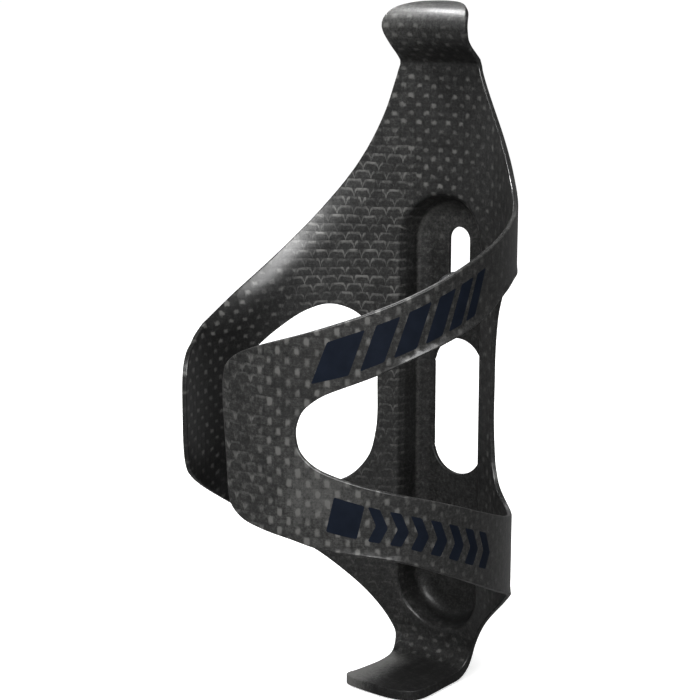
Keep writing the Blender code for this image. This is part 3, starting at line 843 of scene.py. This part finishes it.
class Nodes:
    """A material's node tree, with short calls for the nodes it uses. A value is a number or a socket."""

    def __init__(self, name):
        self.material = bpy.data.materials.new(name)
        self.material.use_nodes = True
        self.tree = self.material.node_tree
        self.shader = self.tree.nodes["Principled BSDF"]

    def new(self, kind, **values):
        """A new node with these properties."""
        node = self.tree.nodes.new(kind)
        for key, value in values.items():
            setattr(node, key, value)
        return node

    def feed(self, socket, value):
        """Gives one input its value or its link."""
        if isinstance(value, bpy.types.NodeSocket):
            self.tree.links.new(value, socket)
        else:
            socket.default_value = value

    def feed_all(self, sockets, values):
        for socket, value in zip(sockets, values):
            self.feed(socket, value)

    def math(self, operation, *values):
        node = self.new("ShaderNodeMath", operation=operation)
        self.feed_all(node.inputs, values)
        return node.outputs[0]

    def ramp(self, value, *stops):
        """A colour ramp with stops of (place from 0 to 1, colour)."""
        node = self.new("ShaderNodeValToRGB")
        self.feed(node.inputs[0], value)
        while len(node.color_ramp.elements) < len(stops):
            node.color_ramp.elements.new(0.5)
        for element, (at, colour) in zip(node.color_ramp.elements, stops):
            element.position = at
            element.color = (*colour, 1.0)
        return node.outputs[0]

    def mix_value(self, factor, a, b):
        node = self.new("ShaderNodeMix", data_type="FLOAT")
        self.feed_all((node.inputs[0], node.inputs[2], node.inputs[3]), (factor, a, b))
        return node.outputs[0]

    def mix_colour(self, factor, a, b):
        node = self.new("ShaderNodeMix", data_type="RGBA")
        self.feed_all((node.inputs[0], node.inputs[6], node.inputs[7]), (factor, a, b))
        return node.outputs[2]

    def noise(self, vector, scale, detail=2.0, roughness=0.5):
        node = self.new("ShaderNodeTexNoise")
        names = ("Vector", "Scale", "Detail", "Roughness")
        self.feed_all([node.inputs[key] for key in names], (vector, scale, detail, roughness))
        return node.outputs["Fac"]

    def combine(self, x, y, z=0.0):
        node = self.new("ShaderNodeCombineXYZ")
        self.feed_all(node.inputs, (x, y, z))
        return node.outputs[0]

    def bump(self, height, strength, distance):
        node = self.new("ShaderNodeBump")
        names = ("Height", "Strength", "Distance")
        self.feed_all([node.inputs[key] for key in names], (height, strength, distance))
        return node.outputs[0]

    def set(self, **values):
        """Sets the shader's inputs by name, with _ for a space."""
        for key, value in values.items():
            self.feed(self.shader.inputs[key.replace("_", " ")], value)


def weave_pattern(n):
    """The plain weave: which tow is on top, its place in its cell, its height, fibres and tone."""
    place = n.new("ShaderNodeUVMap", uv_map="weave").outputs[0]
    split = n.new("ShaderNodeSeparateXYZ")
    n.feed(split.inputs[0], place)
    sway = n.math("MULTIPLY", n.math("SUBTRACT", n.noise(place, 9.0, 2.0), 0.5), SWAY)
    across = n.math("MULTIPLY_ADD", split.outputs[0], UV_UNIT / TOW_ACROSS, sway)
    up = n.math("MULTIPLY_ADD", split.outputs[1], UV_UNIT / TOW_UP, sway)
    column, row = n.math("FLOOR", across), n.math("FLOOR", up)
    level = n.math("PINGPONG", n.math("ADD", column, row), 1.0)
    a = n.math("MULTIPLY_ADD", n.math("FRACT", across), 2.0, -1.0)
    b = n.math("MULTIPLY_ADD", n.math("FRACT", up), 2.0, -1.0)
    side = n.math("ABSOLUTE", n.mix_value(level, a, b))
    along = n.math("ABSOLUTE", n.mix_value(level, b, a))
    crown = n.math("SUBTRACT", 1.0, n.math("POWER", side, 2.2))
    dive = n.math("SUBTRACT", 1.0, n.math("MULTIPLY", n.math("POWER", along, 2.6), 0.75))
    height = n.math("MULTIPLY", crown, dive)
    lengthways = n.combine(n.math("MULTIPLY", across, FIBRES_ACROSS), n.math("MULTIPLY", up, FIBRES_ALONG))
    crossways = n.combine(n.math("MULTIPLY", across, FIBRES_ALONG), n.math("MULTIPLY", up, FIBRES_ACROSS))
    fibres = n.mix_value(level, n.noise(lengthways, 1.0, 2.0), n.noise(crossways, 1.0, 2.0))
    cell = n.new("ShaderNodeTexWhiteNoise", noise_dimensions="2D")
    n.feed(cell.inputs["Vector"], n.combine(column, row))
    return split.outputs, across, row, level, (a, b), height, fibres, cell.outputs["Value"]


def along_sheet(n, u, stops):
    """A value that changes round the sheet, from stops of (degrees round the bottle, value)."""
    share = n.math("MULTIPLY_ADD", u, UV_UNIT / TABLE_SPAN, LEFT_OF_SPINE / TABLE_SPAN)
    places = [((math.radians(angle) * RADIUS + LEFT_OF_SPINE) / TABLE_SPAN, (value,) * 3)
              for angle, value in stops]
    return n.ramp(share, *places)


def up_sheet(n, v, stops):
    """The same, from stops of (height in millimetres, value)."""
    share = n.math("MULTIPLY_ADD", v, UV_UNIT / TABLE_SPAN, BELOW_SHELF / TABLE_SPAN)
    return n.ramp(share, *[((height + BELOW_SHELF) / TABLE_SPAN, (value,) * 3) for height, value in stops])


def soft_step(n, value, low, high):
    """0 at low and 1 at high, with a smooth step between them."""
    step = n.new("ShaderNodeMapRange", interpolation_type="SMOOTHSTEP")
    n.feed_all(step.inputs, (value, low, high))
    return step.outputs[0]


def glints(n, loop, worn, cell_place, across, row):
    """Painted highlights where the tows catch the light: a tall dot on the loop, an arched dot on the spine,
    or a thin line over each tow's shoulder, like fish scales, beside the wing. The noise given as worn only
    moves and scales them."""
    a, b = cell_place
    bow = n.math("MULTIPLY", a, a)
    arch = n.math("MULTIPLY_ADD", bow, n.mix_value(loop, 0.2, 0.15), b)
    wide = n.mix_value(loop, 1.05, 0.72)
    tall = n.mix_value(loop, 0.72, 1.05)
    centre = n.math("SUBTRACT", arch, n.math("MULTIPLY_ADD", n.math("SUBTRACT", 1.0, loop), 0.25,
                                             n.math("MULTIPLY_ADD", worn, 1.2, -0.55)))
    dot = n.math("MULTIPLY", soft_step(n, n.math("ABSOLUTE", a), wide, n.math("MULTIPLY", wide, 0.2)),
                 soft_step(n, n.math("ABSOLUTE", centre), tall, n.math("MULTIPLY", tall, 0.15)))
    pair = n.math("FRACT", n.math("MULTIPLY", n.math("ADD", across, row), 0.5))
    from_middle = n.math("MULTIPLY_ADD", pair, 2.0, -1.5)
    from_middle = n.math("ABSOLUTE", n.math("WRAP", from_middle, 1.0, -1.0))
    dome = n.math("MULTIPLY_ADD", n.math("POWER", from_middle, 6.0), 1.7, b)
    rough = n.math("MULTIPLY_ADD", worn, 0.9, 0.3)
    scale = soft_step(n, n.math("ABSOLUTE", n.math("SUBTRACT", dome, rough)), 0.55, 0.1)
    scale = n.math("MULTIPLY", scale, n.math("MULTIPLY_ADD", worn, 2.6, -0.5))
    return dot, scale


# The carbon's look by region, with its painted highlights and painted light and shade: stops of (place,
# value), with a place in degrees round the bottle in a table named ROUND and a height in millimetres in one
# named UP.
LOOP_ROUND = ((24.0, 0.0), (25.0, 1.0))
SCALES_ROUND = ((-66.0, 0.0), (-55.0, 1.0), (-20.0, 1.0), (-9.0, 0.0), (163.0, 0.0), (171.0, 0.5))
SCALES_UP = ((122.0, 1.0), (133.0, 0.0))
# Where the painted highlights on the tows show strongly or faintly
GLINTS_UP_SPINE = ((-3.0, 0.0), (-1.0, 0.6), (3.0, 0.6), (8.0, 0.2), (50.0, 0.4), (78.0, 0.6), (96.0, 0.8),
                   (142.0, 0.8), (144.5, 0.3), (148.0, 0.3), (152.0, 0.6), (158.5, 0.5), (161.0, 0.0))
GLINTS_ROUND = ((-119.0, 1.6), (-85.0, 1.3), (-68.0, 0.6), (-58.0, 1.0), (-8.0, 1.0), (9.0, 0.7),
                (20.0, 0.45), (60.0, 0.05), (108.0, 0.35), (132.0, 1.0), (162.0, 1.0), (172.0, 0.6))
# Painted shade and light by region, as the tone under the glints: darkest at the wing's far end, darker on
# the spine's right and the shelf, lighter on the tongue's top
SHADE_AND_LIGHT_ROUND = ((-119.0, 0.0), (-75.0, 0.02), (-55.0, 0.14), (-20.0, 0.18), (6.0, 0.09), (16.0, 0.09),
                (52.0, 0.11), (61.0, 0.26), (85.0, 0.19), (140.0, 0.20), (158.0, 0.25), (172.0, 0.20))
SHADE_AND_LIGHT_UP = ((-5.0, 0.2), (2.0, 1.0), (143.0, 1.0), (147.0, 2.0), (156.0, 2.4))
PAN_TOP_LIGHT_UP = ((98.0, 0.0), (108.0, 0.25))
SHELF_REFLECTION_ROUND, SHELF_REFLECTION_UP = ((-16.0, 0.6), (-2.0, 0.0)), ((-6.0, 2.0), (-1.0, 0.0))
WINDOW_HIGHLIGHT_ROUND = ((128.0, 0.0), (147.0, 0.3), (155.0, 0.22), (163.0, 0.0))
WINDOW_HIGHLIGHT_UP = ((50.0, 0.0), (61.0, 1.0), (68.0, 0.6), (74.0, 0.0))
FILLET_HIGHLIGHT_ROUND, FILLET_HIGHLIGHT_UP = ((-6.0, 0.32), (-1.0, 0.0)), ((20.0, 0.3), (50.0, 1.0))
COAT_UP = ((-4.0, 0.1), (4.0, 0.5), (145.0, 0.5), (150.0, 0.12))
SATIN_UP = ((-4.0, 0.60), (4.0, 0.40), (145.0, 0.40), (151.0, 0.52))
PAN_FROM = (38.2, 39.2)
PAN_WALL_TO = (41.6, 43.2)
PAN_CORNER = 42.3
# Colour ramp of the carbon's tone: darkest where the painted shade is deepest, palest where the painted
# highlights and light are strongest
CARBON_TONES = ((0.0, (0.009, 0.009, 0.009)), (0.25, (0.026, 0.026, 0.0255)), (1.0, (0.130, 0.129, 0.124)))


def distance_from_axis(n, place):
    """Millimetres from the bottle's axis, which tell the recessed pan from the wall."""
    flat = n.new("ShaderNodeVectorMath", operation="MULTIPLY_ADD")
    n.feed_all(flat.inputs, (place, (1 / MM, 1 / MM, 0.0), (-AXIS.x, -AXIS.y, 0.0)))
    distance = n.new("ShaderNodeVectorMath", operation="LENGTH")
    n.feed(distance.inputs[0], flat.outputs[0])
    return distance.outputs["Value"]


def glint_strength(n, u, v, place, loop, pan):
    """How much the painted highlights on the tows show: by region, less in the pan, and patchy."""
    share = n.math("MULTIPLY", n.mix_value(loop, up_sheet(n, v, GLINTS_UP_SPINE), 1.0),
                   along_sheet(n, u, GLINTS_ROUND))
    share = n.math("MULTIPLY", share, n.mix_value(pan, 1.0, 0.25))
    return n.math("MULTIPLY", share, n.math("MULTIPLY_ADD", n.noise(place, 160.0, 1.0), 1.4, 0.3))


def painted_light_and_shade(n, u, v, distance, pan):
    """Painted light and shade on the cloth between its glints, by region: painted shade on the pan's walls,
    painted light at its top, a painted reflection on the shelf, and painted highlights below the loop's
    window and along the pan's fillet.
    """
    # Painted shade and light by region: the variable ground holds this painted tone
    ground = n.math("MULTIPLY", along_sheet(n, u, SHADE_AND_LIGHT_ROUND), up_sheet(n, v, SHADE_AND_LIGHT_UP))
    # Painted shade: the pan's walls are made darker
    pan_wall_shade = n.math("SUBTRACT", pan, soft_step(n, distance, *PAN_WALL_TO))
    ground = n.math("SUBTRACT", ground, n.math("MULTIPLY", pan_wall_shade, 0.12))
    # Painted light: the top of the pan is made paler where it lies in shadow
    pan_top_light = n.math("MULTIPLY", pan, up_sheet(n, v, PAN_TOP_LIGHT_UP))
    # Painted reflection: the left part of the shelf is made paler
    shelf_reflection = n.math("MULTIPLY", along_sheet(n, u, SHELF_REFLECTION_ROUND), up_sheet(n, v, SHELF_REFLECTION_UP))
    ground = n.math("ADD", ground, n.math("ADD", pan_top_light, shelf_reflection))
    # Painted highlight: a pale patch on the lower band below the loop's window
    window_highlight = n.math("MULTIPLY", along_sheet(n, u, WINDOW_HIGHLIGHT_ROUND), up_sheet(n, v, WINDOW_HIGHLIGHT_UP))
    ground = n.math("ADD", ground, window_highlight)
    # Painted highlight: a pale line along the left side of the pan's fillet, held in corner
    off_corner = n.math("ABSOLUTE", n.math("SUBTRACT", distance, PAN_CORNER))
    corner = n.math("MULTIPLY", soft_step(n, off_corner, 0.8, 0.1), along_sheet(n, u, FILLET_HIGHLIGHT_ROUND))
    return n.math("ADD", ground, n.math("MULTIPLY", corner, up_sheet(n, v, FILLET_HIGHLIGHT_UP)))


def carbon_material():
    """Plain-weave carbon under a satin coat: flat tows over and under each other, with painted highlights on
    the tows and painted light and shade by region in its colour.
    """
    n = Nodes("carbon_weave")
    (u, v, _), across, row, level, cell_place, height, fibres, cell = weave_pattern(n)
    place = n.new("ShaderNodeTexCoord").outputs["Object"]
    distance = distance_from_axis(n, place)
    pan = soft_step(n, distance, *PAN_FROM)
    loop = along_sheet(n, u, LOOP_ROUND)
    # Where the painted highlights take the form of thin lines over the tows' shoulders
    scales = n.math("MULTIPLY", along_sheet(n, u, SCALES_ROUND), up_sheet(n, v, SCALES_UP))
    share = glint_strength(n, u, v, place, loop, pan)
    dot, scale = glints(n, loop, n.noise(place, 700.0, 2.0), cell_place, across, row)
    dot = n.math("MULTIPLY", n.math("MULTIPLY", dot, n.math("SUBTRACT", 1.0, level)),
                 n.math("MULTIPLY_ADD", cell, 0.7, 0.5))
    scale = n.math("MULTIPLY", scale, n.math("MULTIPLY_ADD", cell, 0.8, 0.25))
    speckle = n.math("SUBTRACT", n.noise(place, 1500.0, 3.0, 0.8), 0.5)
    cloud = n.math("SUBTRACT", n.noise(place, 420.0, 2.0, 0.6), 0.5)
    # Painted highlights as dots or lines, weighted by share; below, random tone from fibres, cells, speckle
    # and cloud, with crowns and cells painted lighter where the highlights show
    tone = n.math("MULTIPLY", n.mix_value(scales, dot, scale), share)
    for part, weight in ((n.math("SUBTRACT", fibres, 0.5), 0.35),
                         (n.math("SUBTRACT", cell, 0.5), n.math("MULTIPLY", share, 0.12)),
                         (height, n.math("MULTIPLY", share, 0.06)), (speckle, 1.0), (cloud, 0.35)):
        tone = n.math("MULTIPLY_ADD", part, weight, tone)
    colour = n.ramp(n.math("ADD", tone, painted_light_and_shade(n, u, v, distance, pan)), *CARBON_TONES)
    n.set(Base_Color=colour, Metallic=0.25, Coat_Roughness=0.24, Coat_IOR=1.5, Specular_IOR_Level=0.2)
    n.set(Coat_Weight=n.math("MULTIPLY", up_sheet(n, v, COAT_UP), n.mix_value(pan, 1.0, 0.35)))
    n.set(Roughness=n.math("MULTIPLY_ADD", fibres, 0.12, up_sheet(n, v, SATIN_UP)))
    relief = n.math("MULTIPLY", height, n.math("MULTIPLY_ADD", share, 0.7, 0.3))
    n.set(Normal=n.bump(relief, 0.35, 0.00012))
    n.set(Coat_Normal=n.bump(n.math("MULTIPLY_ADD", speckle, 1.5, relief), 0.1, 0.0001))
    return n.material


def ink_material():
    """Dark blue printed film, a little worn."""
    n = Nodes("printed_film")
    place = n.new("ShaderNodeTexCoord").outputs["Object"]
    cloud = n.noise(place, 260.0, 4.0, 0.6)
    colour = n.ramp(cloud, (0.3, (0.005, 0.008, 0.015)), (0.75, (0.008, 0.012, 0.022)))
    n.set(Base_Color=colour, Roughness=n.math("MULTIPLY_ADD", cloud, 0.2, 0.45), Specular_IOR_Level=0.06)
    n.set(Normal=n.bump(n.noise(place, 2500.0, 2.0), 0.05, 0.0001))
    return n.material


def steel_material():
    """Machined stainless steel: a fine grain and a slight stain."""
    n = Nodes("machined_steel")
    place = n.new("ShaderNodeTexCoord").outputs["Object"]
    cloud = n.noise(place, 400.0, 3.0)
    fine = n.noise(place, 5000.0, 2.0)
    colour = n.ramp(cloud, (0.25, (0.40, 0.41, 0.43)), (0.8, (0.58, 0.58, 0.59)))
    n.set(Base_Color=colour, Metallic=1.0, Roughness=n.math("MULTIPLY_ADD", fine, 0.25, 0.16))
    n.set(Normal=n.bump(fine, 0.12, 0.0001))
    return n.material


def floor_material():
    """White paper, lit through to the camera, that throws little light back onto the object."""
    n = Nodes("studio_floor")
    place = n.new("ShaderNodeTexCoord").outputs["Object"]
    tone = n.ramp(n.noise(place, 3.0, 2.0), (0.3, (0.89, 0.89, 0.89)), (0.7, (0.91, 0.91, 0.91)))
    seen = n.new("ShaderNodeLightPath").outputs["Is Camera Ray"]
    n.set(Base_Color=n.mix_colour(seen, (0.15, 0.15, 0.15, 1.0), tone), Roughness=0.8,
          Emission_Color=(1.0, 1.0, 1.0, 1.0), Emission_Strength=n.math("MULTIPLY", seen, 0.65))
    return n.material


# ---------------------------------------------------------------- studio and camera

CAMERA_PLACE = (235.004, -285.786, 164.467)     # from the bottle's axis and the shelf, millimetres
CAMERA_HEADING = 39.256                         # degrees anticlockwise from +Y, seen from above
CAMERA_PITCH = 12.293                           # degrees below the horizon
FOCAL_LENGTH = 87.64                            # millimetres
SENSOR_WIDTH = 36.0
WORLD_AS_LIGHT, WORLD_TO_CAMERA = 0.17, 1.02    # the world's strength as a light, and as seen
FLOOR_HALF, FLOOR_GAP = 0.8, 0.0005             # metres: half the floor's side, and its drop below the cage


def add_camera():
    """The camera, in front and to the right, looking a little down."""
    data = bpy.data.cameras.new("camera")
    data.lens = FOCAL_LENGTH
    data.sensor_width = SENSOR_WIDTH
    camera = bpy.data.objects.new("camera", data)
    camera.location = Vector(to_world(np.array(CAMERA_PLACE)))
    camera.rotation_euler = (math.radians(90.0 - CAMERA_PITCH), 0.0, math.radians(CAMERA_HEADING))
    bpy.context.scene.collection.objects.link(camera)
    bpy.context.scene.camera = camera


def middle(box):
    """The centre of a box given by its two corners."""
    return (box[0] + box[1]) / 2


def add_softbox(name, azimuth, elevation, distance, size, radiance, aim=None, spread=180.0,
                diffuse=True, glossy=True):
    """A rectangular light that faces its aim. Lengths are metres, and azimuth 0 is +Y, the bike's side."""
    turn, rise = math.radians(azimuth), math.radians(elevation)
    aim = middle(CAD_BOX) if aim is None else aim
    away = Vector((math.sin(turn) * math.cos(rise), math.cos(turn) * math.cos(rise), math.sin(rise)))
    data = bpy.data.lights.new(name, "AREA")
    data.shape = "RECTANGLE"
    data.size, data.size_y = size
    data.spread = math.radians(spread)
    data.energy = radiance * math.pi * size[0] * size[1]
    light = bpy.data.objects.new(name, data)
    light.location = aim + away * distance
    light.rotation_euler = away.to_track_quat("Z", "Y").to_euler()
    light.visible_diffuse = diffuse
    light.visible_glossy = glossy
    bpy.context.scene.collection.objects.link(light)


def add_world():
    """White all round to the camera, and softer as a light."""
    world = bpy.data.worlds.new("studio")
    world.use_nodes = True
    tree = world.node_tree
    background = tree.nodes["Background"]
    background.inputs[0].default_value = (1.0, 1.0, 1.0, 1.0)
    seen = tree.nodes.new("ShaderNodeLightPath").outputs["Is Camera Ray"]
    strength = tree.nodes.new("ShaderNodeMapRange")
    strength.inputs["To Min"].default_value = WORLD_AS_LIGHT
    strength.inputs["To Max"].default_value = WORLD_TO_CAMERA
    tree.links.new(seen, strength.inputs["Value"])
    tree.links.new(strength.outputs[0], background.inputs[1])
    bpy.context.scene.world = world
    bpy.context.scene.view_settings.view_transform = "Standard"


def add_studio(material):
    """Softboxes round the object, a small one for the tongue's crest, and the floor."""
    add_world()
    add_softbox("key", 152.0, 38.0, 1.0, (0.7, 0.35), 11.0)
    add_softbox("left", 212.0, 35.0, 1.0, (0.7, 0.5), 3.5, glossy=False)
    add_softbox("right", 121.0, 30.0, 1.0, (0.8, 0.4), 14.0, diffuse=False)
    add_softbox("behind", 318.0, 26.0, 1.2, (0.4, 0.4), 2.6, diffuse=False)
    add_softbox("top", 215.0, 75.0, 1.6, (1.6, 1.6), 2.5, glossy=False)
    add_softbox("crown", 250.0, 44.0, 0.2, (0.14, 0.06), 3.0, diffuse=False, spread=20.0,
                aim=middle(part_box("tongue")))
    low = CAD_BOX[0].z - FLOOR_GAP
    half = FLOOR_HALF
    corners = [(-half, -half, low), (half, -half, low), (half, half, low), (-half, half, low)]
    floor = make_object("floor", corners, [[0, 1, 2, 3]], material)


# ---------------------------------------------------------------- putting it together

def add_skin(carbon):
    """The moulding's four skins. The spine's skin goes with the cage's body; those of the arms and the
    tongue have their transforms applied and are attached to no body.
    """
    sheet = Sheet()
    rim, first = wall_sheet(sheet)
    pan_sheet(sheet, rim, first)
    free = free_directions(sheet)
    replaced = {
        "spine": ("back_wall", "mounting_pan", "shelf"),
        "wing": ("wing_upper_strut", "wing_lower_strut", "wing_panel"),
        "loop": ("loop_upper_band", "loop_lower_band", "loop_end_plate"),
        "tongue": ("tongue",),
    }
    pieces = {}
    for part, nodes in replaced.items():
        piece = solid_piece(part + "_skin", sheet, part, free, carbon)
        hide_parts(*nodes)
        pieces[part] = piece
    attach(pieces["spine"], "cage")
    for part, seam, turn in (("wing", WING_SEAM, -ROOT_BEND), ("loop", LOOP_SEAM, ROOT_BEND)):
        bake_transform(pieces[part])
    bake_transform(pieces["tongue"])


def add_prints(ink):
    """The printed marks on both bands, which go with the loop."""
    for name, node, marks, band in (("upper_print", "upper_label", upper_marks(), UPPER_BAND),
                                    ("lower_print", "lower_label", lower_marks(), LOWER_BAND)):
        piece = film_piece(name, marks, band, ink)
        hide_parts(node)
        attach(piece, "loop")


def add_fasteners(steel):
    """The bolts and their washers. The upper washer slides on a body of its own."""
    for place, washer_body in (("upper", "upper_washer"), ("lower", "cage")):
        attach(bolt_piece(place + "_bolt_steel", place + "_bolt", steel), place + "_bolt")
        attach(washer_piece(place + "_washer_steel", place + "_washer", steel), washer_body)


def main():
    add_skin(carbon_material())
    add_prints(ink_material())
    add_fasteners(steel_material())
    add_camera()
    add_studio(floor_material())


main()
